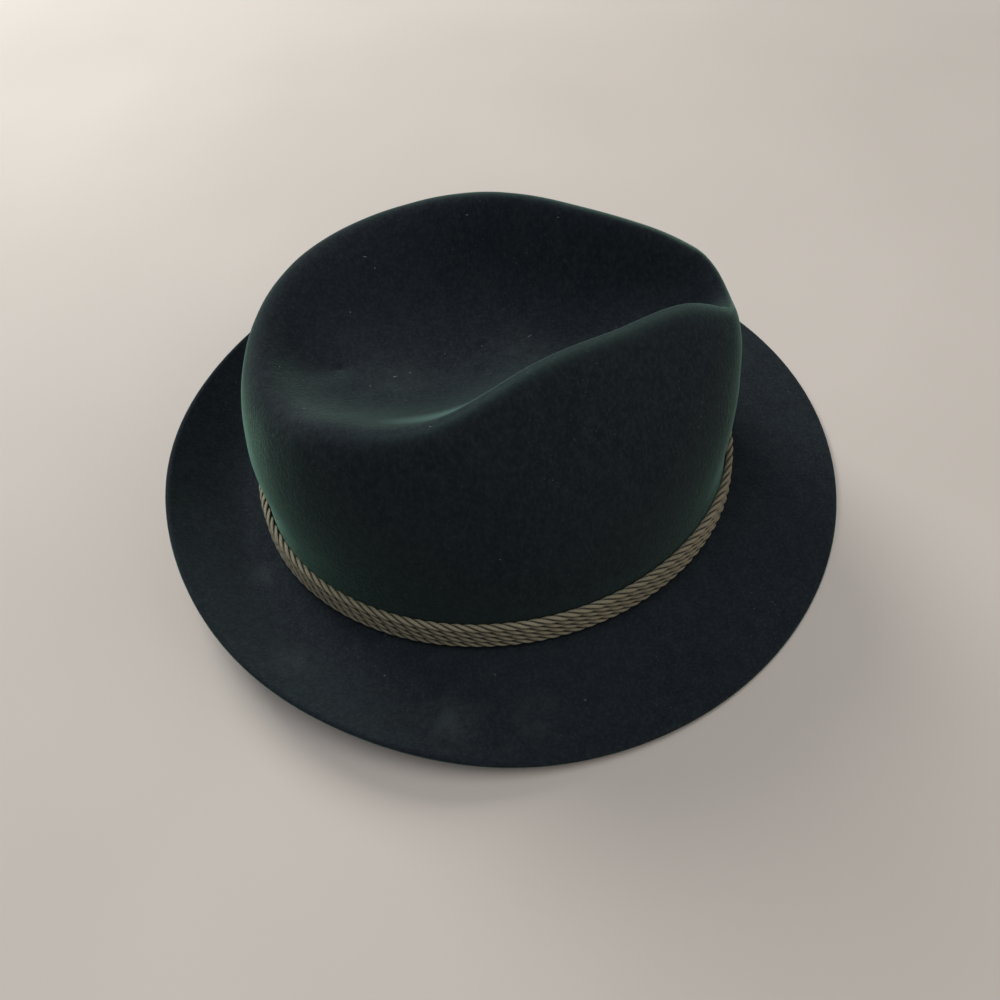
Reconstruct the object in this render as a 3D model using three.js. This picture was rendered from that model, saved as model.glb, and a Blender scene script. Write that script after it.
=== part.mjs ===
// Tyrolean hat: one blocked felt body, crown and brim in a single piece, with four twisted
// cords laid one above another round the foot of the crown.
//
// Millimetres, +Z up. The hat stands on its brim at z = 0. The front of the hat points to -Y
// and the wearer's left to +X. The origin is on the floor, under the middle of the brim.
import * as THREE from "three";

// Felt and brim.
const FELT = 2.2; // wall of the felt, the same in crown and brim
const BRIM_LENGTH = 291; // over the brim, front to back
const BRIM_WIDTH = 284; // over the brim, side to side
const BRIM_LIFT = 24; // rise of the brim's edge at the back
const BRIM_FLAT = 9; // flat part of the brim round the foot of the crown, which it rests on
const EDGE_ROUND = 0.5; // bulge of the raw edge of the brim

// Crown.
const CROWN_LENGTH = 206; // outside of the felt at the foot of the crown, front to back
const CROWN_WIDTH = 182; // the same, side to side
const CROWN_SET_BACK = 5; // crown's middle behind the brim's middle
const CROWN_HEIGHT = 106; // from the brim to the top of the ridges
const FOOT_LEAN = 0.12; // how much the wall leans in beside the cords, per millimetre of height
const FOOT_RADIUS = 3; // fillet between brim and crown

// Ridges and dent. Seen from above, the ridges run round the crown in a teardrop, and a crease
// runs along the bottom of the dent. Each inset is measured inwards, level.
const RIDGE_FRONT_INSET = 8; // from the foot of the crown to the front end of the teardrop
const RIDGE_BACK_INSET = 19; // from the foot of the crown to its back end
const RIDGE_SIDE_INSET = 33; // from the foot of the crown to its sides, where it is widest
const DENT_DEPTH = 42; // from the ridges down to the crease, at its deepest
const CREASE_FRONT_INSET = 17; // from the teardrop's front end to that of the crease
const CREASE_BACK_INSET = 32; // from the teardrop's back end to that of the crease

// Cords.
const CORD_DIAMETER = 3.2;
const CORD_ROWS = 4;
const CORD_GAP = 0.25; // clearance round each cord
const WALL_ABOVE_CORDS = 3.2; // leaning part of the wall that shows above the top cord

// Fineness of the facets.
const TURNS = 60; // facets round the hat
const CORD_SIDES = 8;
const BRIM_STEPS = 6;
const FILLET_STEPS = 3;
const FOOT_STEPS = 3;
const SPAN_STEPS = 3; // facets to each span of a crown section

// The brim from the front (0 degrees) to the back (180), the same on both sides.
// edge: height of its under edge as a share of BRIM_LIFT; curl: how late the rise comes,
// 1 for a straight slope.
const BRIM_SECTIONS = [
  { turn: 0, edge: 0.0, curl: 2.0 },
  { turn: 45, edge: 0.0, curl: 2.0 },
  { turn: 67, edge: 0.04, curl: 2.0 },
  { turn: 90, edge: 0.18, curl: 2.0 },
  { turn: 120, edge: 0.64, curl: 1.8 },
  { turn: 150, edge: 0.82, curl: 1.6 },
  { turn: 180, edge: 1.0, curl: 1.6 },
];

// The crown from the front to the back, the same on both sides.
// wide: width of the oval that the ridge lies on here, as a share of the teardrop's width;
// ridge: height of the ridge, as a share of CROWN_HEIGHT; middle and shoulder: how far the wall
// has come in from the cords to the ridge, at MIDDLE_HEIGHT and SHOULDER_HEIGHT; brow: how far
// the rounding over the ridge reaches in towards the crease; slope and dent: depth below the
// ridge halfway in and at the crease, as shares of DENT_DEPTH.
const CROWN_SECTIONS = [
  { turn: 0, wide: 0.84, ridge: 0.747, middle: 0.0, shoulder: 0.32, brow: 0.2, slope: 0.06, dent: 0.12 },
  { turn: 15, wide: 0.86, ridge: 0.792, middle: 0.0, shoulder: 0.4, brow: 0.18, slope: 0.15, dent: 0.24 },
  { turn: 30, wide: 0.6, ridge: 0.853, middle: 0.06, shoulder: 0.54, brow: 0.16, slope: 0.33, dent: 0.42 },
  { turn: 45, wide: 0.54, ridge: 0.924, middle: 0.16, shoulder: 0.68, brow: 0.14, slope: 0.5, dent: 0.62 },
  { turn: 65, wide: 0.65, ridge: 0.971, middle: 0.26, shoulder: 0.74, brow: 0.12, slope: 0.68, dent: 0.88 },
  { turn: 85, wide: 0.81, ridge: 0.996, middle: 0.29, shoulder: 0.76, brow: 0.11, slope: 0.76, dent: 1.0 },
  { turn: 110, wide: 1.08, ridge: 0.915, middle: 0.25, shoulder: 0.7, brow: 0.12, slope: 0.6, dent: 0.83 },
  { turn: 135, wide: 1.21, ridge: 0.866, middle: 0.17, shoulder: 0.6, brow: 0.13, slope: 0.42, dent: 0.6 },
  { turn: 155, wide: 1.32, ridge: 0.834, middle: 0.08, shoulder: 0.54, brow: 0.14, slope: 0.3, dent: 0.46 },
  { turn: 180, wide: 1.42, ridge: 0.81, middle: 0.06, shoulder: 0.52, brow: 0.15, slope: 0.27, dent: 0.41 },
];

const MIDDLE_HEIGHT = 0.55; // as a share of the way up to the ridge
const SHOULDER_HEIGHT = 0.9; // the same
const BROW_DROP = 0.12; // fall of the brow, as a share of the fall halfway in

// A row of a table between its stations, eased so that no facet shows where two rows meet.
function sectionAt(table, turnDegrees) {
  const turn = Math.min(turnDegrees, 360 - turnDegrees);
  const last = table.length - 1;
  let i = 0;
  while (i < last - 1 && turn > table[i + 1].turn) i += 1;
  const before = table[Math.max(i - 1, 0)];
  const after = table[Math.min(i + 2, last)];
  const [a, b] = [table[i], table[i + 1]];
  const span = b.turn - a.turn;
  const s = (turn - a.turn) / span;
  const row = {};
  for (const key of Object.keys(a)) {
    // Slopes at both stations, level at the front and at the back, where the two sides meet.
    const slopeA = i === 0 ? 0 : ((b[key] - before[key]) / (b.turn - before.turn)) * span;
    const slopeB = i + 1 === last ? 0 : ((after[key] - a[key]) / (after.turn - a.turn)) * span;
    row[key] = hermite(a[key], slopeA, b[key], slopeB, s);
  }
  return row;
}

function hermite(a, slopeA, b, slopeB, s) {
  const [s2, s3] = [s * s, s * s * s];
  return (
    (2 * s3 - 3 * s2 + 1) * a +
    (s3 - 2 * s2 + s) * slopeA +
    (3 * s2 - 2 * s3) * b +
    (s3 - s2) * slopeB
  );
}

// A point of an oval seen from above, whose ends are at front and back. Turn 0 is the front, a
// quarter turn the wearer's left.
function ovalPoint(turn, width, front, back) {
  const y = (front + back) / 2 - ((back - front) / 2) * Math.cos(turn);
  return new THREE.Vector2((width / 2) * Math.sin(turn), y);
}

const FOOT_TOP = FELT + FOOT_RADIUS;
const FOOT_WALL = CORD_ROWS * (CORD_DIAMETER + CORD_GAP) + WALL_ABOVE_CORDS;
const CROWN_FRONT = CROWN_SET_BACK - CROWN_LENGTH / 2;
const CROWN_BACK = CROWN_SET_BACK + CROWN_LENGTH / 2;
const RIDGE_FRONT = CROWN_FRONT + RIDGE_FRONT_INSET;
const RIDGE_BACK = CROWN_BACK - RIDGE_BACK_INSET;
const RIDGE_WIDTH = CROWN_WIDTH - 2 * RIDGE_SIDE_INSET;
const CREASE_FRONT = RIDGE_FRONT + CREASE_FRONT_INSET;
const CREASE_BACK = RIDGE_BACK - CREASE_BACK_INSET;

const edgePoint = (turn) => ovalPoint(turn, BRIM_WIDTH, -BRIM_LENGTH / 2, BRIM_LENGTH / 2);
const footPoint = (turn) => ovalPoint(turn, CROWN_WIDTH, CROWN_FRONT, CROWN_BACK);
const ridgePoint = (turn, wide) => ovalPoint(turn, RIDGE_WIDTH * wide, RIDGE_FRONT, RIDGE_BACK);
const creasePoint = (turn) => ovalPoint(turn, 0, CREASE_FRONT, CREASE_BACK);

// Outward direction of the foot of the crown, seen from above.
function footOutward(turn) {
  const x = CROWN_LENGTH * Math.sin(turn);
  const y = -CROWN_WIDTH * Math.cos(turn);
  return new THREE.Vector2(x, y).normalize();
}

const at = (flat, z) => new THREE.Vector3(flat.x, flat.y, z);

// The brim's upper face at one turn, from its edge in to the start of the fillet.
function brimPoints(turn) {
  const section = sectionAt(BRIM_SECTIONS, THREE.MathUtils.radToDeg(turn));
  const edge = edgePoint(turn);
  const inner = footPoint(turn).addScaledVector(footOutward(turn), FOOT_RADIUS);
  const flatShare = BRIM_FLAT / edge.distanceTo(inner);
  const lift = BRIM_LIFT * Math.max(0, section.edge);
  const points = [];
  for (let i = 0; i < BRIM_STEPS; i += 1) {
    const s = 1 - (i / (BRIM_STEPS - 1)) * (1 - flatShare);
    const rise = Math.pow(Math.max(0, (s - flatShare) / (1 - flatShare)), section.curl);
    points.push(at(inner.clone().lerp(edge, s), FELT + lift * rise));
  }
  points.push(at(inner.clone().lerp(edge, flatShare / 2), FELT));
  return points;
}

// The fillet between brim and crown, and the leaning wall above it up to FOOT_WALL.
function footPoints(turn) {
  const points = [];
  const outward = footOutward(turn);
  const foot = footPoint(turn);
  for (let i = 0; i < FILLET_STEPS; i += 1) {
    const angle = (i / FILLET_STEPS) * (Math.PI / 2);
    const flat = foot.clone().addScaledVector(outward, FOOT_RADIUS * (1 - Math.sin(angle)));
    points.push(at(flat, FELT + FOOT_RADIUS * (1 - Math.cos(angle))));
  }
  for (let i = 0; i < FOOT_STEPS; i += 1) {
    const height = (i / FOOT_STEPS) * FOOT_WALL;
    const flat = foot.clone().addScaledVector(outward, -height * FOOT_LEAN);
    points.push(at(flat, FOOT_TOP + height));
  }
  return points;
}

// The crown at one turn, from the top of FOOT_WALL over the ridge and down into the dent.
function crownPoints(turn) {
  const section = sectionAt(CROWN_SECTIONS, THREE.MathUtils.radToDeg(turn));
  const foot = footPoint(turn);
  const wall = foot.clone().addScaledVector(footOutward(turn), -FOOT_WALL * FOOT_LEAN);
  const ridge = ridgePoint(turn, section.wide);
  const ridgeZ = FELT + section.ridge * CROWN_HEIGHT;
  const crease = creasePoint(turn);
  const upWall = (inward, height) =>
    at(wall.clone().lerp(ridge, inward), THREE.MathUtils.lerp(FOOT_TOP, ridgeZ, height));
  const downDent = (inward, depth) =>
    at(ridge.clone().lerp(crease, inward), ridgeZ - depth * DENT_DEPTH);
  const stations = [
    at(foot, FOOT_TOP),
    at(wall, FOOT_TOP + FOOT_WALL),
    upWall(section.middle, MIDDLE_HEIGHT),
    upWall(section.shoulder, SHOULDER_HEIGHT),
    at(ridge, ridgeZ),
    downDent(section.brow, section.slope * BROW_DROP),
    downDent(0.5, section.slope),
    downDent(1, section.dent),
  ];
  const path = new THREE.CatmullRomCurve3(stations, false, "centripetal");
  // The first span only steers the curve: footPoints has that part of the wall.
  return path.getPoints((stations.length - 1) * SPAN_STEPS).slice(SPAN_STEPS);
}

// The felt as a closed shell: the outer face, the same face FELT further in, and the raw edge.
function feltGeometry() {
  const sections = [];
  for (let i = 0; i < TURNS; i += 1) {
    const turn = (i / TURNS) * 2 * Math.PI;
    sections.push([...brimPoints(turn), ...footPoints(turn), ...crownPoints(turn)]);
  }
  const rows = sections[0].length;
  // In the last row, the crease, the two sides of the hat share their points.
  const creaseStart = (rows - 1) * TURNS;
  const indexOf = (row, i) => {
    const turn = ((i % TURNS) + TURNS) % TURNS;
    return row < rows - 1 ? row * TURNS + turn : creaseStart + Math.min(turn, TURNS - turn);
  };
  const outerCount = creaseStart + TURNS / 2 + 1;
  const outer = new Array(outerCount);
  for (let row = 0; row < rows; row += 1) {
    for (let i = 0; i < TURNS; i += 1) outer[indexOf(row, i)] = sections[i][row];
  }
  const faces = [];
  const quad = (a, b, c, d) => {
    if (a !== b && b !== c && a !== c) faces.push(a, b, c);
    if (a !== c && c !== d && a !== d) faces.push(a, c, d);
  };
  for (let row = 0; row < rows - 1; row += 1) {
    for (let i = 0; i < TURNS; i += 1) {
      quad(indexOf(row, i), indexOf(row, i + 1), indexOf(row + 1, i + 1), indexOf(row + 1, i));
    }
  }

  const skin = new THREE.BufferGeometry().setFromPoints(outer);
  skin.setIndex(faces);
  skin.computeVertexNormals();
  const normals = skin.getAttribute("normal");
  const inner = outer.map((p, k) =>
    p.clone().addScaledVector(new THREE.Vector3().fromBufferAttribute(normals, k), -FELT),
  );

  const rim = [];
  for (let i = 0; i < TURNS; i += 1) {
    const middle = outer[i].clone().lerp(inner[i], 0.5);
    const outward = new THREE.Vector3(middle.x, middle.y, 0).normalize();
    rim.push(middle.addScaledVector(outward, EDGE_ROUND));
  }

  const indices = [...faces];
  for (let k = 0; k < faces.length; k += 3) {
    indices.push(faces[k] + outerCount, faces[k + 2] + outerCount, faces[k + 1] + outerCount);
  }
  const rimStart = 2 * outerCount;
  for (let i = 0; i < TURNS; i += 1) {
    const next = (i + 1) % TURNS;
    indices.push(i, rimStart + i, rimStart + next, i, rimStart + next, next);
    const [low, lowNext] = [outerCount + i, outerCount + next];
    indices.push(low, lowNext, rimStart + next, low, rimStart + next, rimStart + i);
  }
  const shell = new THREE.BufferGeometry().setFromPoints([...outer, ...inner, ...rim]);
  shell.setIndex(indices);
  return shell;
}

// One cord: a ring of round section that lies against the leaning wall. The lowest one has
// its middle level with the top of the fillet, or lies on the brim where the fillet is small.
function cordGeometry(row) {
  const radius = CORD_DIAMETER / 2;
  const slant = Math.hypot(1, FOOT_LEAN);
  const lowest = Math.max(0, radius + CORD_GAP - FOOT_RADIUS);
  const rise = lowest + (row * (CORD_DIAMETER + CORD_GAP)) / slant;
  const offset = (radius + CORD_GAP) * slant - rise * FOOT_LEAN;
  const points = [];
  for (let i = 0; i < TURNS; i += 1) {
    const turn = (i / TURNS) * 2 * Math.PI;
    const outward = footOutward(turn);
    const centre = footPoint(turn).addScaledVector(outward, offset);
    for (let side = 0; side < CORD_SIDES; side += 1) {
      const angle = (side / CORD_SIDES) * 2 * Math.PI;
      const flat = centre.clone().addScaledVector(outward, radius * Math.cos(angle));
      points.push(at(flat, FOOT_TOP + rise + radius * Math.sin(angle)));
    }
  }
  const indices = [];
  const corner = (i, side) => (i % TURNS) * CORD_SIDES + (side % CORD_SIDES);
  for (let i = 0; i < TURNS; i += 1) {
    for (let side = 0; side < CORD_SIDES; side += 1) {
      const [a, b] = [corner(i, side), corner(i + 1, side)];
      const [c, d] = [corner(i + 1, side + 1), corner(i, side + 1)];
      indices.push(a, b, c, a, c, d);
    }
  }
  const ring = new THREE.BufferGeometry().setFromPoints(points);
  ring.setIndex(indices);
  return ring;
}

function feltBody() {
  const material = new THREE.MeshStandardMaterial({
    color: 0x16261d,
    roughness: 0.95,
    metalness: 0,
  });
  const mesh = new THREE.Mesh(feltGeometry(), material);
  mesh.name = "felt_body";
  return mesh;
}

function hatCord(row) {
  const material = new THREE.MeshStandardMaterial({
    color: 0x6f7059,
    roughness: 0.6,
    metalness: 0,
  });
  const mesh = new THREE.Mesh(cordGeometry(row), material);
  mesh.name = `hat_cord_${row + 1}`;
  return mesh;
}

const hat = new THREE.Group();
hat.add(feltBody());
for (let row = 0; row < CORD_ROWS; row += 1) hat.add(hatCord(row));

// The curl at the back reaches a little past the brim's oval, so the whole is centred last.
const middle = new THREE.Box3().setFromObject(hat).getCenter(new THREE.Vector3());
hat.position.set(-middle.x, -middle.y, 0);

export default hat;
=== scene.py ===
"""Tyrolean hat: a felt body with a teardrop dent, and four twisted cords round its crown.

Metres, +Z up, in the CAD's frame: front at -Y, wearer's left at +X, brim on the floor.
"""
import math

import bmesh
import bpy
import numpy as np
from mathutils import Matrix, Vector
from mathutils.bvhtree import BVHTree


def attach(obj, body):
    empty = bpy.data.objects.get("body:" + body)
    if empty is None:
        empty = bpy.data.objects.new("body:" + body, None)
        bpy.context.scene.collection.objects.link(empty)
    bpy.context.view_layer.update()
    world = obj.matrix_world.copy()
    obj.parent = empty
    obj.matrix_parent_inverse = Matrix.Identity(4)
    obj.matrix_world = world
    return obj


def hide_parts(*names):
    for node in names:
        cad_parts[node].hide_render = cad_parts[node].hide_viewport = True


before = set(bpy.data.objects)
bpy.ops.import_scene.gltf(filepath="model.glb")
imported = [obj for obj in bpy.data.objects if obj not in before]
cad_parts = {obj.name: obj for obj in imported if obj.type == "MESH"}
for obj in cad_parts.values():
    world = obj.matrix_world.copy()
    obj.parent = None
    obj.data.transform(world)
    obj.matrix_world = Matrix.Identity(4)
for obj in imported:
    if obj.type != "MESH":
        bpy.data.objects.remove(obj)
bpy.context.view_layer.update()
MM = 0.001

# Sizes of the felt and its sections, in millimetres, as in the CAD.
FELT = 2.2
BRIM_LENGTH, BRIM_WIDTH = 291.0, 284.0
BRIM_LIFT, BRIM_FLAT, EDGE_ROUND = 24.0, 9.0, 0.5
CROWN_LENGTH, CROWN_WIDTH, CROWN_SET_BACK, CROWN_HEIGHT = 206.0, 182.0, 5.0, 106.0
FOOT_LEAN, FOOT_RADIUS = 0.12, 3.0
RIDGE_FRONT_INSET, RIDGE_BACK_INSET, RIDGE_SIDE_INSET = 8.0, 19.0, 33.0
DENT_DEPTH, CREASE_FRONT_INSET, CREASE_BACK_INSET = 42.0, 17.0, 32.0
CORD_DIAMETER, CORD_ROWS, CORD_GAP, WALL_ABOVE_CORDS = 3.2, 4, 0.25, 3.2
MIDDLE_HEIGHT, SHOULDER_HEIGHT, BROW_DROP = 0.55, 0.9, 0.12
# The CAD centres the whole on its box, which moves it this far towards the front.
SHIFT_Y = -0.65

BRIM_KEYS = ("turn", "edge", "curl")
BRIM_SECTIONS = np.array([
    (0, 0.0, 2.0),
    (45, 0.0, 2.0),
    (67, 0.04, 2.0),
    (90, 0.18, 2.0),
    (120, 0.64, 1.8),
    (150, 0.82, 1.6),
    (180, 1.0, 1.6),
])
CROWN_KEYS = ("turn", "wide", "ridge", "middle", "shoulder", "brow", "slope", "dent")
CROWN_SECTIONS = np.array([
    (0, 0.84, 0.747, 0.0, 0.32, 0.2, 0.06, 0.12),
    (15, 0.86, 0.792, 0.0, 0.4, 0.18, 0.15, 0.24),
    (30, 0.6, 0.853, 0.06, 0.54, 0.16, 0.33, 0.42),
    (45, 0.54, 0.924, 0.16, 0.68, 0.14, 0.5, 0.62),
    (65, 0.65, 0.971, 0.26, 0.74, 0.12, 0.68, 0.88),
    (85, 0.81, 0.996, 0.29, 0.76, 0.11, 0.76, 1.0),
    (110, 1.08, 0.915, 0.25, 0.7, 0.12, 0.6, 0.83),
    (135, 1.21, 0.866, 0.17, 0.6, 0.13, 0.42, 0.6),
    (155, 1.32, 0.834, 0.08, 0.54, 0.14, 0.3, 0.46),
    (180, 1.42, 0.81, 0.06, 0.52, 0.15, 0.27, 0.41),
])

# Fineness of the felt, and how often its folds are smoothed.
TURNS = 240
BRIM_STEPS = 34
FLAT_STEPS = 4
FILLET_STEPS = 6
FOOT_STEPS = 8
SPAN_STEPS = 12
EASE_PASSES = 6
ROLL_PASSES = 26
ROLL_FADE_ROWS = 16

# Hand-blocked unevenness in millimetres, with the size of its dents.
UNEVEN_WIDE, UNEVEN_WIDE_CELL = 0.55, 34
UNEVEN_SMALL, UNEVEN_SMALL_CELL = 0.22, 13
UNEVEN_BRIM, UNEVEN_BRIM_CELL = 0.5, 40
UNEVEN_FADE_ROWS, UNEVEN_FADE_LIFT = 14, 4
SMOOTH_WAVES = 14

FOOT_TOP = FELT + FOOT_RADIUS
FOOT_WALL = CORD_ROWS * (CORD_DIAMETER + CORD_GAP) + WALL_ABOVE_CORDS
CROWN_FRONT = CROWN_SET_BACK - CROWN_LENGTH / 2
CROWN_BACK = CROWN_SET_BACK + CROWN_LENGTH / 2
RIDGE_FRONT = CROWN_FRONT + RIDGE_FRONT_INSET
RIDGE_BACK = CROWN_BACK - RIDGE_BACK_INSET
RIDGE_WIDTH = CROWN_WIDTH - 2 * RIDGE_SIDE_INSET
CREASE_FRONT = RIDGE_FRONT + CREASE_FRONT_INSET
CREASE_BACK = RIDGE_BACK - CREASE_BACK_INSET


def hermite(a, slope_a, b, slope_b, s):
    s2, s3 = s * s, s * s * s
    return (
        (2 * s3 - 3 * s2 + 1) * a
        + (s3 - 2 * s2 + s) * slope_a
        + (3 * s2 - 2 * s3) * b
        + (s3 - s2) * slope_b
    )


def section_at(table, keys, turn):
    """A row of a table at any turn, eased between its stations."""
    deg = math.degrees(turn) % 360
    deg = min(deg, 360 - deg)
    last = len(table) - 1
    i = 0
    while i < last - 1 and deg > table[i + 1][0]:
        i += 1
    a, b = table[i], table[i + 1]
    before, after = table[max(i - 1, 0)], table[min(i + 2, last)]
    span = b[0] - a[0]
    s = (deg - a[0]) / span
    slope_a = 0 * a if i == 0 else (b - before) / (b[0] - before[0]) * span
    slope_b = 0 * a if i + 1 == last else (after - a) / (after[0] - a[0]) * span
    return dict(zip(keys, hermite(a, slope_a, b, slope_b, s)))


def place(name, data):
    """A new object in the scene."""
    obj = bpy.data.objects.new(name, data)
    bpy.context.collection.objects.link(obj)
    return obj


def oval(turn, width, front, back):
    y = (front + back) / 2 - (back - front) / 2 * math.cos(turn)
    return np.array([width / 2 * math.sin(turn), y])


def foot_point(turn):
    return oval(turn, CROWN_WIDTH, CROWN_FRONT, CROWN_BACK)


def foot_outward(turn):
    v = np.array([CROWN_LENGTH * math.sin(turn), -CROWN_WIDTH * math.cos(turn)])
    return v / np.linalg.norm(v)


def lerp(a, b, s):
    return a + (b - a) * s


def at(flat, z):
    return np.array([flat[0], flat[1], z])


def brim_points(turn):
    sec = section_at(BRIM_SECTIONS, BRIM_KEYS, turn)
    edge = oval(turn, BRIM_WIDTH, -BRIM_LENGTH / 2, BRIM_LENGTH / 2)
    inner = foot_point(turn) + foot_outward(turn) * FOOT_RADIUS
    flat = BRIM_FLAT / np.linalg.norm(edge - inner)
    lift = BRIM_LIFT * max(0.0, sec["edge"])
    pts = []
    for i in range(BRIM_STEPS):
        s = 1 - i / (BRIM_STEPS - 1) * (1 - flat)
        rise = max(0.0, (s - flat) / (1 - flat)) ** sec["curl"]
        pts.append(at(lerp(inner, edge, s), FELT + lift * rise))
    for i in range(1, FLAT_STEPS):
        pts.append(at(lerp(inner, edge, flat * (1 - i / FLAT_STEPS)), FELT))
    return pts


def foot_points(turn):
    foot, out = foot_point(turn), foot_outward(turn)
    pts = []
    for i in range(FILLET_STEPS):
        a = i / FILLET_STEPS * math.pi / 2
        flat = foot + out * FOOT_RADIUS * (1 - math.sin(a))
        pts.append(at(flat, FELT + FOOT_RADIUS * (1 - math.cos(a))))
    for i in range(FOOT_STEPS):
        h = i / FOOT_STEPS * FOOT_WALL
        pts.append(at(foot - out * h * FOOT_LEAN, FOOT_TOP + h))
    return pts


def smooth_path(points, steps):
    """A centripetal Catmull-Rom curve through the points."""
    p = [2 * points[0] - points[1], *points, 2 * points[-1] - points[-2]]
    out = [points[0]]
    for i in range(1, len(p) - 2):
        p0, p1, p2, p3 = p[i - 1], p[i], p[i + 1], p[i + 2]
        d0, d1, d2 = (max(np.linalg.norm(b - a), 1e-6) ** 0.5 for a, b in ((p0, p1), (p1, p2), (p2, p3)))
        t1 = ((p1 - p0) / d0 - (p2 - p0) / (d0 + d1) + (p2 - p1) / d1) * d1
        t2 = ((p2 - p1) / d1 - (p3 - p1) / (d1 + d2) + (p3 - p2) / d2) * d1
        for k in range(1, steps + 1):
            out.append(hermite(p1, t1, p2, t2, k / steps))
    return out


def crown_points(turn):
    sec = section_at(CROWN_SECTIONS, CROWN_KEYS, turn)
    foot = foot_point(turn)
    wall = foot - foot_outward(turn) * FOOT_WALL * FOOT_LEAN
    ridge = oval(turn, RIDGE_WIDTH * sec["wide"], RIDGE_FRONT, RIDGE_BACK)
    ridge_z = FELT + sec["ridge"] * CROWN_HEIGHT
    crease = oval(turn, 0, CREASE_FRONT, CREASE_BACK)

    def up_wall(inward, height):
        return at(lerp(wall, ridge, inward), lerp(FOOT_TOP, ridge_z, height))

    def down_dent(inward, depth):
        return at(lerp(ridge, crease, inward), ridge_z - depth * DENT_DEPTH)

    stations = [
        at(foot, FOOT_TOP),
        at(wall, FOOT_TOP + FOOT_WALL),
        up_wall(sec["middle"], MIDDLE_HEIGHT),
        up_wall(sec["shoulder"], SHOULDER_HEIGHT),
        at(ridge, ridge_z),
        down_dent(sec["brow"], sec["slope"] * BROW_DROP),
        down_dent(0.5, sec["slope"]),
        down_dent(1, sec["dent"]),
    ]
    return smooth_path(stations, SPAN_STEPS)[SPAN_STEPS:]


def grid_normals(grid, crease):
    """Outward normals of the outer face, row by row round the hat."""
    du = np.roll(grid, -1, axis=1) - np.roll(grid, 1, axis=1)
    dv = np.gradient(grid, axis=0)
    n = np.cross(du, dv)
    length = np.linalg.norm(n, axis=2, keepdims=True)
    n = n / np.maximum(length, 1e-9)
    both = (n[-1] + n[-1][crease]) / 2
    n[-1] = both / np.maximum(np.linalg.norm(both, axis=1, keepdims=True), 1e-9)
    return n


def smooth_noise(points, cell, seed):
    """A sum of seeded sine waves of about that cell size, mostly between -1 and 1."""
    rng = np.random.RandomState(seed)
    waves = rng.normal(size=(SMOOTH_WAVES, 3)) / cell
    phase = rng.uniform(0, 2 * math.pi, SMOOTH_WAVES)
    return np.sin(points @ waves.T * 1.9 + phase).sum(axis=-1) / SMOOTH_WAVES * 1.6


def felt_grid():
    cols = []
    for i in range(TURNS):
        turn = i / TURNS * 2 * math.pi
        cols.append(np.array(brim_points(turn) + foot_points(turn) + crown_points(turn)))
    grid = np.stack(cols, axis=1)
    # The crown above the cords, and the brim, are eased round the hat so that no section shows.
    eased = grid.copy()
    for _ in range(EASE_PASSES):
        eased = (np.roll(eased, 1, axis=1) + 2 * eased + np.roll(eased, -1, axis=1)) / 4
    first = BRIM_STEPS + FLAT_STEPS - 1 + FILLET_STEPS + FOOT_STEPS
    grid[first:, :, 2] = eased[first:, :, 2]
    grid[:BRIM_STEPS, :, 2] = eased[:BRIM_STEPS, :, 2]
    # Felt has no sharp fold: the ridges and the crease are rolled, across the middle too.
    mirror = (-np.arange(TURNS)) % TURNS
    fade = np.clip(np.arange(len(grid) - first) / ROLL_FADE_ROWS, 0, 1)[:, None, None]
    for _ in range(ROLL_PASSES):
        crown = grid[first:]
        below = np.concatenate([crown[:1], crown[:-1]])
        above = np.concatenate([crown[1:], crown[-2:-1, mirror]])
        rolled = (below + 2 * crown + above) / 4
        grid[first:] = crown + (rolled - crown) * fade
    return grid, first


# Smudges of dust, the last of them a painted highlight: place in millimetres, reach and strength.
DUST_AND_HIGHLIGHT = (
    (-88.6, 97.1, 10.3, 8.0, 0.22),
    (-120.4, 37.1, 5.8, 9.0, 0.32),
    (-43.0, 110.0, 2.5, 6.0, 0.2),
    (-124.8, 8.0, 4.0, 10.0, 0.16),
    (-16.9, 133.4, 12.7, 8.0, 0.12),
    (-8.1, 38.2, 70.2, 9.0, 0.16),
    (2.1, -9.9, 66.2, 9.0, 0.18),
    # A painted highlight, not dust: the bright patch on the near ridge towards the back.
    (-36.0, 71.0, 89.0, 9.0, 0.3),
)


# Painted highlight along the ridges: strength, reach in rows of faces, and where it starts and how
# slowly.
RIDGE_HIGHLIGHT, RIDGE_HIGHLIGHT_ROWS, RIDGE_HIGHLIGHT_BACK, RIDGE_HIGHLIGHT_FADE = 0.42, 3.2, 62, 60
RIDGE_ROW = 3 * SPAN_STEPS


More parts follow.
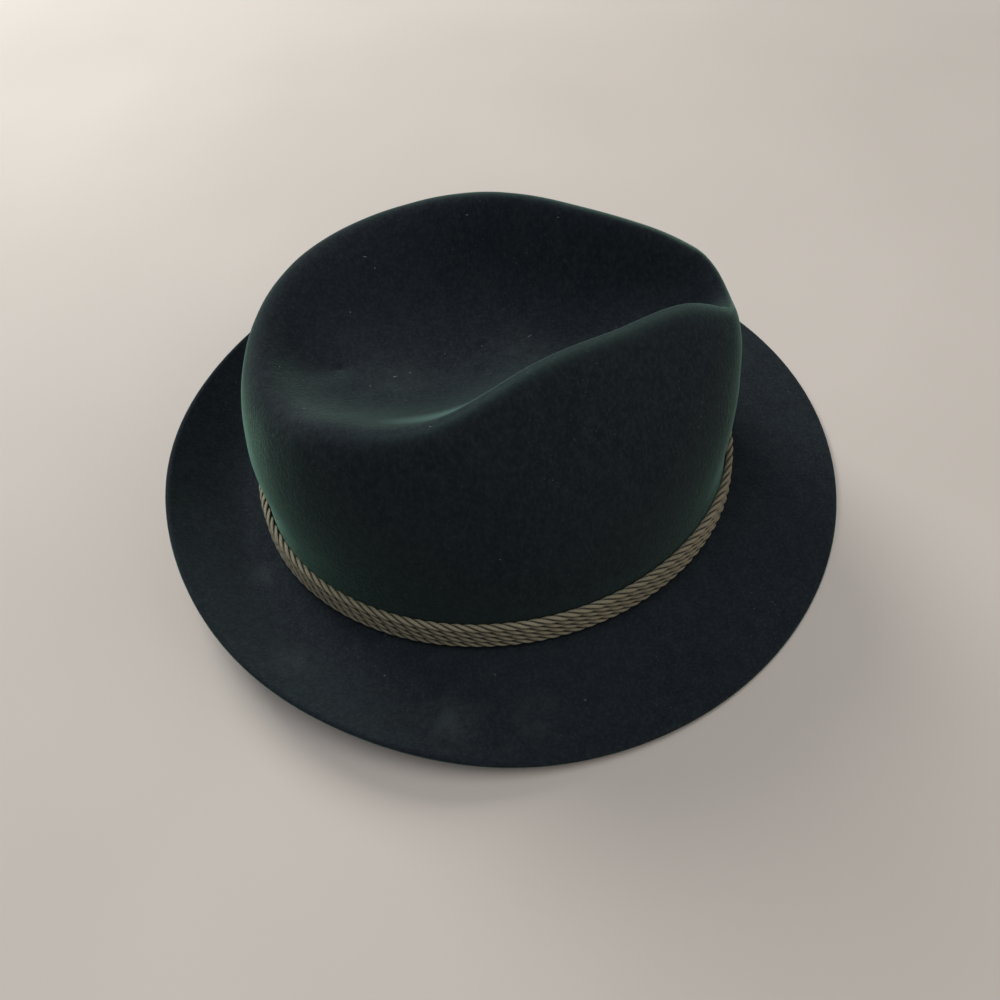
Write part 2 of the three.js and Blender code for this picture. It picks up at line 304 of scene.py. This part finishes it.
def build_felt():
    grid, first = felt_grid()
    rows = len(grid)
    mirror = (-np.arange(TURNS)) % TURNS
    normals = grid_normals(grid, mirror)
    # Hand-blocked unevenness, fading to nothing beside the cords and where the brim rests.
    uneven = np.zeros((rows, TURNS))
    crown = grid[first:]
    uneven[first:] = UNEVEN_WIDE * smooth_noise(crown, UNEVEN_WIDE_CELL, 3)
    uneven[first:] += UNEVEN_SMALL * smooth_noise(crown, UNEVEN_SMALL_CELL, 4)
    uneven[first:] *= np.clip(np.arange(rows - first) / UNEVEN_FADE_ROWS, 0, 1)[:, None]
    uneven[-1] = (uneven[-1] + uneven[-1][mirror]) / 2
    brim = grid[:BRIM_STEPS]
    lifted = np.clip((brim[:, :, 2] - FELT) / UNEVEN_FADE_LIFT, 0, 1)
    uneven[:BRIM_STEPS] = UNEVEN_BRIM * smooth_noise(brim, UNEVEN_BRIM_CELL, 5) * lifted
    outer = grid + normals * uneven[..., None]
    inner = outer - normals * FELT
    inner[..., 2] = np.maximum(inner[..., 2], 0)
    outer[..., 2] = np.maximum(outer[..., 2], inner[..., 2] + 0.2)

    verts, faces = [], []
    index = {}

    def vertex(side, row, i):
        i %= TURNS
        if row == rows - 1:
            i = min(i, TURNS - i)
        key = (side, row, i)
        if key not in index:
            index[key] = len(verts)
            if side == 2:
                mid = (outer[0, i] + inner[0, i]) / 2
                out = np.array([mid[0], mid[1], 0])
                verts.append(mid + out / np.linalg.norm(out) * EDGE_ROUND)
            else:
                p = (outer, inner)[side][row, i]
                verts.append(p if row < rows - 1 else p * [0, 1, 1])
        return index[key]

    def face(*corners):
        kept = [c for k, c in enumerate(corners) if c != corners[k - 1]]
        if len(set(kept)) > 2:
            faces.append(kept)

    for row in range(rows - 1):
        for i in range(TURNS):
            a, b = vertex(0, row, i), vertex(0, row, i + 1)
            c, d = vertex(0, row + 1, i + 1), vertex(0, row + 1, i)
            face(a, b, c, d)
            a, b = vertex(1, row, i), vertex(1, row, i + 1)
            c, d = vertex(1, row + 1, i + 1), vertex(1, row + 1, i)
            face(a, d, c, b)
    for i in range(TURNS):
        top, top_next = vertex(0, 0, i), vertex(0, 0, i + 1)
        mid, mid_next = vertex(2, 0, i), vertex(2, 0, i + 1)
        low, low_next = vertex(1, 0, i), vertex(1, 0, i + 1)
        face(top, mid, mid_next, top_next)
        face(mid, low, low_next, mid_next)
    co = (np.array(verts) + [0, SHIFT_Y, 0]) * MM
    mesh = bpy.data.meshes.new("felt_hat")
    mesh.from_pydata(co.tolist(), [], faces)
    # Dust smudges, one of them a painted highlight, lighten the felt through this attribute.
    dust_and_highlight = np.zeros(len(co))
    for x, y, z, reach, amount in DUST_AND_HIGHLIGHT:
        away = np.linalg.norm(co / MM - [x, y, z], axis=1)
        dust_and_highlight = np.maximum(dust_and_highlight, amount * np.exp(-((away / reach) ** 2)))
    mesh.attributes.new("dust_and_highlight", "FLOAT", "POINT").data.foreach_set("value", dust_and_highlight)
    # Painted highlight: the outer face is lightened along the ridge row, fading out towards the back.
    wear_and_highlight = np.zeros(len(co))
    for (side, row, _), k in index.items():
        if side == 0:
            ahead = min(max((RIDGE_HIGHLIGHT_BACK - verts[k][1]) / RIDGE_HIGHLIGHT_FADE, 0), 1)
            wear_and_highlight[k] = RIDGE_HIGHLIGHT * ahead * math.exp(-(((row - first - RIDGE_ROW) / RIDGE_HIGHLIGHT_ROWS) ** 2))
    mesh.attributes.new("wear_and_highlight", "FLOAT", "POINT").data.foreach_set("value", wear_and_highlight)
    mesh.shade_smooth()
    return place("felt_hat", mesh)


def node_tree(name):
    """A new material, its node tree and its shader."""
    mat = bpy.data.materials.new(name)
    mat.use_nodes = True
    tree = mat.node_tree
    shader = next(n for n in tree.nodes if n.type == "BSDF_PRINCIPLED")
    return mat, tree, shader


def add(tree, kind, **values):
    node = tree.nodes.new(kind)
    for key, value in values.items():
        if key in node.inputs:
            node.inputs[key].default_value = value
        else:
            setattr(node, key, value)
    return node


def noise(tree, coords, scale, detail=4.0, rough=0.5):
    n = add(tree, "ShaderNodeTexNoise", Scale=scale, Detail=detail, Roughness=rough)
    tree.links.new(coords, n.inputs["Vector"])
    return n.outputs["Fac"]


def ramp(tree, factor, *stops):
    n = tree.nodes.new("ShaderNodeValToRGB")
    while len(n.color_ramp.elements) < len(stops):
        n.color_ramp.elements.new(0.5)
    for e, (pos, colour) in zip(n.color_ramp.elements, stops):
        e.position = pos
        e.color = (*colour, 1)
    tree.links.new(factor, n.inputs["Fac"])
    return n.outputs["Color"]


def mix(tree, factor, a, b):
    """Colour a turning into colour b as the factor rises."""
    n = tree.nodes.new("ShaderNodeMix")
    n.data_type = "RGBA"
    for socket, value in ((n.inputs[0], factor), (n.inputs[6], a), (n.inputs[7], b)):
        if hasattr(value, "is_output"):
            tree.links.new(value, socket)
        else:
            socket.default_value = value if not isinstance(value, tuple) else (*value, 1)
    return n.outputs[2]


def math_node(tree, operation, a, b):
    n = add(tree, "ShaderNodeMath", operation=operation)
    for socket, value in zip(n.inputs, (a, b)):
        if hasattr(value, "is_output"):
            tree.links.new(value, socket)
        else:
            socket.default_value = value
    return n.outputs[0]


def felt_material():
    mat, tree, shader = node_tree("fur_felt")
    coords = add(tree, "ShaderNodeTexCoord").outputs["Object"]
    # Brushed nap: streaks that run down the crown, broken by a fine grain.
    stretch = add(tree, "ShaderNodeMapping", Scale=(1.0, 1.0, 0.5))
    tree.links.new(coords, stretch.inputs["Vector"])
    nap = noise(tree, stretch.outputs[0], 760, 4.0, 0.65)
    grain = noise(tree, coords, 2100, 2.0, 0.6)
    mottle = noise(tree, coords, 190, 5.0, 0.7)
    clouds = noise(tree, coords, 22, 3.0, 0.55)
    base = ramp(tree, clouds, (0.3, (0.0048, 0.0060, 0.0092)), (0.7, (0.0064, 0.0086, 0.0118)))
    mottled = ramp(tree, mottle, (0.38, (0, 0, 0)), (0.7, (1, 1, 1)))
    base = mix(tree, mottled, base, (0.0088, 0.0122, 0.0150))
    raised = ramp(tree, nap, (0.44, (0, 0, 0)), (0.74, (0.65, 0.65, 0.65)))
    base = mix(tree, raised, base, (0.0165, 0.0235, 0.0258))
    # Dust, rubbed into the nap in smudges, one of them a painted highlight, and lint caught on it.
    dust_and_highlight = add(tree, "ShaderNodeAttribute", attribute_name="dust_and_highlight").outputs["Fac"]
    patchy = ramp(tree, mottle, (0.3, (0.25, 0.25, 0.25)), (0.7, (1, 1, 1)))
    dust_and_highlight_patches = math_node(tree, "MULTIPLY", dust_and_highlight, patchy)
    base = mix(tree, dust_and_highlight_patches, base, (0.05, 0.062, 0.062))
    # Painted highlights: the ridges are lightened, and so is the felt where it is seen edge on.
    wear_and_highlight = add(tree, "ShaderNodeAttribute", attribute_name="wear_and_highlight").outputs["Fac"]
    base = mix(tree, wear_and_highlight, base, (0.034, 0.060, 0.052))
    # Painted sheen: the base colour is lightened towards pale green where the felt is seen edge on.
    edge_on = add(tree, "ShaderNodeLayerWeight", Blend=0.5).outputs["Facing"]
    painted_rim_sheen = ramp(tree, edge_on, (0.8, (0, 0, 0)), (1.0, (1, 1, 1)))
    base = mix(tree, painted_rim_sheen, base, (0.05, 0.085, 0.080))
    lint = noise(tree, coords, 1500, 1.0, 0.3)
    patch = noise(tree, coords, 28, 2.0, 0.5)
    specks = math_node(
        tree,
        "MULTIPLY",
        ramp(tree, lint, (0.76, (0, 0, 0)), (0.79, (1, 1, 1))),
        ramp(tree, patch, (0.5, (0, 0, 0)), (0.66, (1, 1, 1))),
    )
    base = mix(tree, math_node(tree, "MULTIPLY", specks, 0.5), base, (0.16, 0.17, 0.15))
    tree.links.new(base, shader.inputs["Base Color"])
    shader.inputs["Roughness"].default_value = 0.95
    shader.inputs["Specular IOR Level"].default_value = 0.1
    shader.inputs["Sheen Weight"].default_value = 1.0
    shader.inputs["Sheen Roughness"].default_value = 0.32
    shader.inputs["Sheen Tint"].default_value = (0.11, 0.215, 0.155, 1)
    nap_height = math_node(tree, "MULTIPLY", nap, 0.6)
    grain_height = math_node(tree, "MULTIPLY", grain, 0.4)
    height = math_node(tree, "ADD", nap_height, grain_height)
    bump = add(tree, "ShaderNodeBump", Strength=0.7, Distance=0.0007)
    tree.links.new(height, bump.inputs["Height"])
    tree.links.new(bump.outputs[0], shader.inputs["Normal"])
    return mat


# Cords: three plies laid round each other, wound along the foot of the crown.
PLIES = 3
LAY = 15.0
PLY_SIDES = 9
PLY_RADIUS = CORD_DIAMETER / 2 / (1 + 2 / math.sqrt(3))
PLY_OFFSET = CORD_DIAMETER / 2 - PLY_RADIUS
PLY_SWELL = 1.06
POINTS_PER_LAY = 14
ROUTE_POINTS = 4000
CORD_STARTS = (0.0, 1.3, 2.9, 4.1)


def cord_route(row, count):
    """Centre line and outward directions of one cord, evenly spaced along its length."""
    radius = CORD_DIAMETER / 2
    slant = math.hypot(1, FOOT_LEAN)
    rise = max(0.0, radius + CORD_GAP - FOOT_RADIUS) + row * (CORD_DIAMETER + CORD_GAP) / slant
    offset = (radius + CORD_GAP) * slant - rise * FOOT_LEAN
    dense = []
    for i in range(ROUTE_POINTS):
        turn = i / ROUTE_POINTS * 2 * math.pi
        out = foot_outward(turn)
        dense.append(np.r_[foot_point(turn) + out * offset, out])
    dense = np.array(dense)
    step = np.linalg.norm(np.roll(dense[:, :2], -1, axis=0) - dense[:, :2], axis=1)
    along = np.r_[0, np.cumsum(step)]
    ring = np.vstack([dense, dense[:1]])
    wanted = np.arange(count) / count * along[-1]
    route = np.stack([np.interp(wanted, along, ring[:, k]) for k in range(4)], axis=1)
    return route, FOOT_TOP + rise, along[-1]


def build_cord(row):
    """Three plies laid round each other, as closed tubes with a map round and along each ply."""
    length = cord_route(row, 16)[2]
    lays = round(length / LAY)
    count = lays * POINTS_PER_LAY
    route, height, _ = cord_route(row, count)
    verts, faces, uvs = [], [], []
    for ply in range(PLIES):
        centre, rays = [], []
        for k in range(count):
            phase = CORD_STARTS[row] + 2 * math.pi * (ply / PLIES - k / POINTS_PER_LAY)
            out = np.array([route[k][2], route[k][3], 0])
            out /= np.linalg.norm(out)
            up = np.array([0, 0, 1.0])
            ray = out * math.cos(phase) + up * math.sin(phase)
            centre.append(np.array([route[k][0], route[k][1], height]) + ray * PLY_OFFSET)
            rays.append(ray)
        centre = np.array(centre)
        tangent = np.roll(centre, -1, axis=0) - np.roll(centre, 1, axis=0)
        tangent /= np.linalg.norm(tangent, axis=1, keepdims=True)
        base = len(verts)
        for k in range(count):
            a = rays[k] - tangent[k] * (rays[k] @ tangent[k])
            a /= np.linalg.norm(a)
            b = np.cross(tangent[k], a)
            r = PLY_RADIUS * PLY_SWELL
            for s in range(PLY_SIDES):
                ang = s / PLY_SIDES * 2 * math.pi
                verts.append(centre[k] + a * r * math.cos(ang) + b * r * math.sin(ang))
        for k in range(count):
            for s in range(PLY_SIDES):
                k2, s2 = (k + 1) % count, (s + 1) % PLY_SIDES
                here, ahead = base + k * PLY_SIDES, base + k2 * PLY_SIDES
                faces.append([here + s, ahead + s, ahead + s2, here + s2])
                u0, u1 = k / POINTS_PER_LAY, (k + 1) / POINTS_PER_LAY
                v0, v1 = s / PLY_SIDES, (s + 1) / PLY_SIDES
                uvs += [(u0, v0), (u1, v0), (u1, v1), (u0, v1)]
    co = (np.array(verts) + [0, SHIFT_Y, 0]) * MM
    mesh = bpy.data.meshes.new(f"twisted_cord_{row + 1}")
    mesh.from_pydata(co.tolist(), [], faces)
    layer = mesh.uv_layers.new(name="ply")
    layer.data.foreach_set("uv", np.array(uvs, dtype=np.float32).ravel())
    mesh.shade_smooth()
    bm = bmesh.new()
    bm.from_mesh(mesh)
    bmesh.ops.recalc_face_normals(bm, faces=bm.faces)
    bm.to_mesh(mesh)
    bm.free()
    return place(f"twisted_cord_{row + 1}", mesh)


def cord_material():
    mat, tree, shader = node_tree("cord_yarn")
    uv = add(tree, "ShaderNodeUVMap", uv_map="ply").outputs["UV"]
    coords = add(tree, "ShaderNodeTexCoord").outputs["Object"]
    # Fine yarns wound round each ply, against the lay of the cord.
    turnmap = add(tree, "ShaderNodeMapping", Scale=(3.0, 14.0, 1.0))
    tree.links.new(uv, turnmap.inputs["Vector"])
    wave = add(tree, "ShaderNodeTexWave", Scale=1.0, Distortion=1.2, Detail=2.0)
    wave.inputs["Detail Scale"].default_value = 2.0
    wave.bands_direction = "Y"
    tree.links.new(turnmap.outputs[0], wave.inputs["Vector"])
    yarn = wave.outputs["Fac"]
    fuzz = noise(tree, coords, 3500, 3.0, 0.6)
    wear_and_highlight = noise(tree, coords, 40, 3.0, 0.6)
    # Painted shade: the grooves between plies are darkened, and the ply tops keep the yarn's colour.
    split = tree.nodes.new("ShaderNodeSeparateXYZ")
    tree.links.new(uv, split.inputs[0])
    top = math_node(tree, "COSINE", math_node(tree, "MULTIPLY", split.outputs["Y"], 2 * math.pi), 0.0)
    raised = math_node(tree, "ADD", math_node(tree, "MULTIPLY", top, 0.5), 0.5)
    painted_groove_shade_mask = ramp(tree, raised, (0.4, (0, 0, 0)), (0.75, (1, 1, 1)))
    base = ramp(tree, wear_and_highlight, (0.3, (0.175, 0.152, 0.098)), (0.7, (0.245, 0.215, 0.142)))
    base = mix(tree, ramp(tree, yarn, (0.1, (0.5, 0.5, 0.5)), (0.9, (0, 0, 0))), base, (0.1, 0.09, 0.056))
    frayed = ramp(tree, fuzz, (0.45, (0, 0, 0)), (0.8, (0.5, 0.5, 0.5)))
    base = mix(tree, frayed, base, (0.09, 0.082, 0.052))
    # Painted shade darkens the grooves between the plies.
    base = mix(tree, painted_groove_shade_mask, (0.014, 0.0142, 0.0085), base)
    tree.links.new(base, shader.inputs["Base Color"])
    rough = ramp(tree, yarn, (0.0, (0.62, 0.62, 0.62)), (1.0, (0.45, 0.45, 0.45)))
    tree.links.new(rough, shader.inputs["Roughness"])
    shader.inputs["Specular IOR Level"].default_value = 0.35
    shader.inputs["Sheen Weight"].default_value = 0.1
    shader.inputs["Sheen Roughness"].default_value = 0.4
    shader.inputs["Sheen Tint"].default_value = (0.75, 0.8, 0.65, 1)
    yarn_height = math_node(tree, "MULTIPLY", yarn, 0.7)
    fuzz_height = math_node(tree, "MULTIPLY", fuzz, 0.3)
    height = math_node(tree, "ADD", yarn_height, fuzz_height)
    bump = add(tree, "ShaderNodeBump", Strength=0.5, Distance=0.00012)
    tree.links.new(height, bump.inputs["Height"])
    tree.links.new(bump.outputs[0], shader.inputs["Normal"])
    return mat


# Lint on the felt: where it lies in millimetres, its length, and the way it points from above.
LINT = (
    (43.3, 45.2, 89.1, 1.6, 70),
    (40.1, 42.0, 85.6, 0.8, 20),
    (45.0, 2.7, 100.3, 0.9, 80),
    (32.9, -31.2, 102.2, 0.8, 100),
    (24.8, 54.4, 77.9, 0.6, 40),
    (-5.8, 80.2, 84.4, 0.6, 10),
    (-6.8, 40.0, 70.4, 1.7, 110),
    (-4.3, 34.3, 68.8, 1.1, 60),
    (-12.2, 49.4, 73.2, 0.7, 30),
    (-32.7, 70.4, 89.1, 0.9, 75),
    (-22.2, 37.0, 72.9, 0.6, 130),
    (5.5, 19.8, 66.3, 0.8, 95),
    (6.7, 4.7, 66.4, 0.7, 15),
    (-4.1, -0.9, 66.0, 0.9, 50),
    (1.3, -9.7, 65.9, 2.6, 85),
    (4.6, -8.3, 66.9, 2.2, 35),
    (6.0, -14.6, 68.0, 2.4, 120),
    (0.4, -19.6, 66.4, 1.6, 60),
    (0.9, -33.0, 68.0, 0.8, 25),
    (-58.0, 27.7, 99.5, 0.8, 45),
    (-81.8, 11.8, 49.8, 0.7, 80),
    (-104.0, 20.0, 3.0, 0.9, 30),
    (-97.0, 62.0, 5.0, 0.7, 100),
    (-120.0, -12.0, 3.0, 0.8, 65),
)
LINT_RADIUS, LINT_STEPS, LINT_SIDES = 0.07, 6, 5
LINT_BENDS = (-0.4, 0.5)


def build_lint(felt_object):
    """Short bent fibres, each laid on the felt nearest to its place."""
    mesh = felt_object.data
    points = [v.co for v in mesh.vertices]
    tree = BVHTree.FromPolygons(points, [p.vertices for p in mesh.polygons])
    verts, faces = [], []
    for k, (x, y, z, length, way) in enumerate(LINT):
        spot, normal, _, _ = tree.find_nearest(Vector((x, y, z)) * MM)
        along = Vector((math.cos(math.radians(way)), math.sin(math.radians(way)), 0))
        along = (along - normal * along.dot(normal)).normalized()
        across = normal.cross(along)
        start = len(verts)
        for i in range(LINT_STEPS):
            s = i / (LINT_STEPS - 1) - 0.5
            bend = (0.25 - s * s) * LINT_BENDS[k % 2]
            here = spot + (along * s + across * bend) * length * MM
            here, up, _, _ = tree.find_nearest(here)
            here = here + up * LINT_RADIUS * 0.8 * MM
            thin = LINT_RADIUS * MM * (1 - 3 * s * s)
            for j in range(LINT_SIDES):
                a = j / LINT_SIDES * 2 * math.pi
                verts.append(here + (across * math.cos(a) + up * math.sin(a)) * thin)
        for i in range(LINT_STEPS - 1):
            for j in range(LINT_SIDES):
                ring = start + i * LINT_SIDES
                a, b = ring + j, ring + (j + 1) % LINT_SIDES
                faces.append((a, b, b + LINT_SIDES, a + LINT_SIDES))
        end = start + (LINT_STEPS - 1) * LINT_SIDES
        faces.append(tuple(start + j for j in reversed(range(LINT_SIDES))))
        faces.append(tuple(end + j for j in range(LINT_SIDES)))
    mesh = bpy.data.meshes.new("lint")
    mesh.from_pydata(verts, [], faces)
    return place("lint", mesh)


def lint_material():
    mat, tree, shader = node_tree("lint")
    coords = add(tree, "ShaderNodeTexCoord").outputs["Object"]
    shade = noise(tree, coords, 400, 2.0, 0.5)
    tone = ramp(tree, shade, (0.3, (0.2, 0.21, 0.19)), (0.7, (0.42, 0.42, 0.38)))
    tree.links.new(tone, shader.inputs["Base Color"])
    shader.inputs["Roughness"].default_value = 0.9
    return mat


felt = build_felt()
felt.data.materials.append(felt_material())
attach(felt, "root")
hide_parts("felt_body")

lint = build_lint(felt)
lint.data.materials.append(lint_material())
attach(lint, "root")

yarn = cord_material()
for row in range(CORD_ROWS):
    cord = build_cord(row)
    cord.data.materials.append(yarn)
    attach(cord, "root")
    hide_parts(f"hat_cord_{row + 1}")

# The CAD nodes aren't shown, but carry the same finishes.
for name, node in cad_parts.items():
    node.data.materials.clear()
    node.data.materials.append(felt.data.materials[0] if name == "felt_body" else yarn)


FLOOR_HALF = 4


def floor():
    corners = [(x * FLOOR_HALF, y * FLOOR_HALF, 0) for x, y in ((-1, -1), (1, -1), (1, 1), (-1, 1))]
    mesh = bpy.data.meshes.new("floor")
    mesh.from_pydata(corners, [], [(0, 1, 2, 3)])
    obj = place("floor", mesh)
    mat, tree, shader = node_tree("pale_floor")
    coords = add(tree, "ShaderNodeTexCoord").outputs["Object"]
    clouds = noise(tree, coords, 3, 3.0, 0.5)
    tone = ramp(tree, clouds, (0.3, (0.36, 0.325, 0.29)), (0.7, (0.41, 0.372, 0.335)))
    tree.links.new(tone, shader.inputs["Base Color"])
    shader.inputs["Roughness"].default_value = 0.75
    mesh.materials.append(mat)


def area_light(name, location, target, size, power, colour):
    data = bpy.data.lights.new(name, "AREA")
    data.shape = "DISK"
    data.size = size
    data.energy = power
    data.color = colour
    obj = place(name, data)
    obj.location = location
    obj.rotation_euler = (Vector(target) - Vector(location)).to_track_quat("-Z", "Y").to_euler()


floor()
area_light("key", (1.3, 0.7, 1.0), (0, 0, 0.05), 0.8, 31, (1.0, 1.0, 0.97))
area_light("top", (0.0, 0.3, 2.1), (0, 0, 0), 1.6, 24, (0.97, 0.98, 1.0))
area_light("fill", (-0.6, -1.5, 0.9), (0, 0, 0.05), 1.4, 11, (1.0, 0.88, 0.76))
world = bpy.data.worlds.new("studio")
world.use_nodes = True
background = world.node_tree.nodes["Background"]
background.inputs["Color"].default_value = (0.86, 0.91, 1.0, 1)
background.inputs["Strength"].default_value = 0.32
bpy.context.scene.world = world
bpy.context.scene.view_settings.view_transform = "Standard"

# The camera, by its place and its right, up and back directions.
camera = bpy.data.cameras.new("camera")
camera.sensor_width = 36
camera.lens = 28.64
camera.clip_start = 0.01
camera_object = place("camera", camera)
right = Vector((-0.14877, -0.98701, -0.06057))
up = Vector((0.80937, -0.15672, 0.56600))
back = Vector((-0.56814, 0.03518, 0.82217))
pose = Matrix((right, up, back)).transposed().to_4x4()
pose.translation = Vector((-0.22403, 0.01835, 0.29232))
camera_object.matrix_world = pose
bpy.context.scene.camera = camera_object
